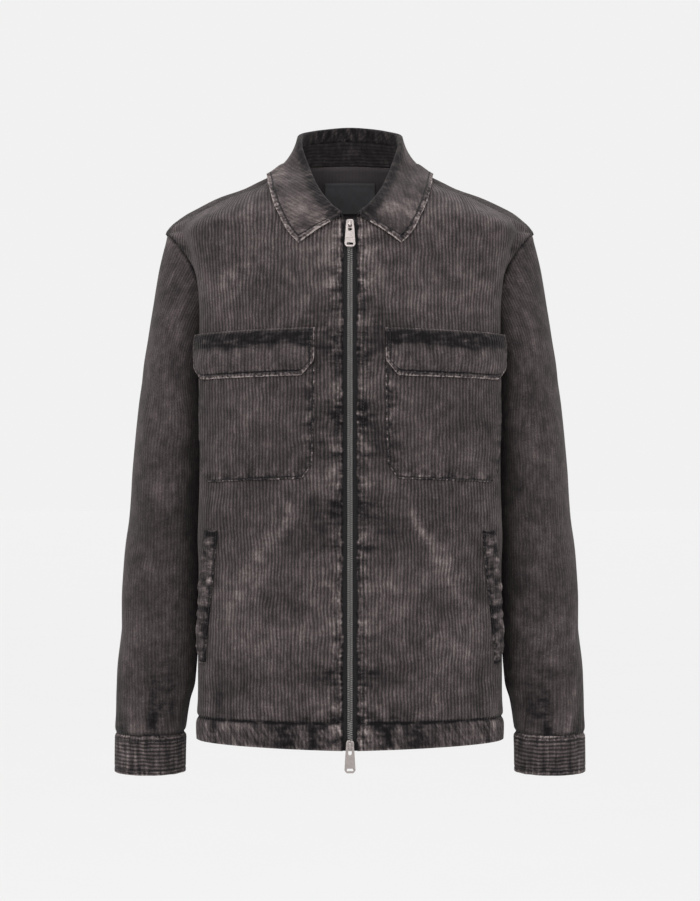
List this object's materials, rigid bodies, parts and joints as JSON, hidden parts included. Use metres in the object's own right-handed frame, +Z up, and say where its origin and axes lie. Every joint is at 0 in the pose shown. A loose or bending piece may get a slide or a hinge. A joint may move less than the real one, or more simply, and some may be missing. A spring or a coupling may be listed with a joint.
{
  "type": "corduroy zip jacket",
  "caption": "Waist-length corduroy zip jacket, filled out as worn, with shirt collar, flapped chest pockets, side welts, cuffs, and zip pull tabs that swing.",
  "frame": {"origin": "middle of the neck base, level with the high points of the shoulders, where a wearer holds the jacket", "axes": "+Z up, -Y towards the zip at the front, +X towards the wearer's left"},
  "size_m": [0.5596, 0.272, 0.7802],
  "materials": {
    "corduroy": "ribbed cotton velvet, acid washed charcoal brown, matt with a soft sheen on the ribs",
    "tape": "black woven zip tape",
    "zip_metal": "brushed warm silver metal",
    "label": "smooth charcoal woven label, bare"
  },
  "bodies": {
    "jacket": {"back": "corduroy", "front_left": "corduroy", "front_right": "corduroy", "sleeve_left": "corduroy", "sleeve_right": "corduroy", "cuff_left": "corduroy", "cuff_right": "corduroy", "hem_left": "corduroy", "hem_right": "corduroy", "hem_back": "corduroy", "chest_pocket_left": "corduroy", "chest_pocket_right": "corduroy", "pocket_flap_left": "corduroy", "pocket_flap_right": "corduroy", "pocket_welt_left": "corduroy", "pocket_welt_right": "corduroy", "collar_fall": "corduroy", "collar_stand": "corduroy", "zip_tape_left": "tape", "zip_tape_right": "tape", "zip_chain": "zip_metal", "slider_top": "zip_metal", "slider_bottom": "zip_metal", "neck_label": "label"},
    "pull_top": {"pull_top": "zip_metal"},
    "pull_bottom": {"pull_bottom": "zip_metal"}
  },
  "joints": [
    {"name": "pull_top_swing", "type": "hinge", "parent": "jacket", "child": "pull_top", "pos_m": [0, -0.10444, -0.0843], "axis": [-1, 0, 0], "range_deg": [0, 150]},
    {"name": "pull_bottom_swing", "type": "hinge", "parent": "jacket", "child": "pull_bottom", "pos_m": [0, -0.14479, -0.68146], "axis": [-1, 0, 0], "range_deg": [0, 150]}
  ]
}
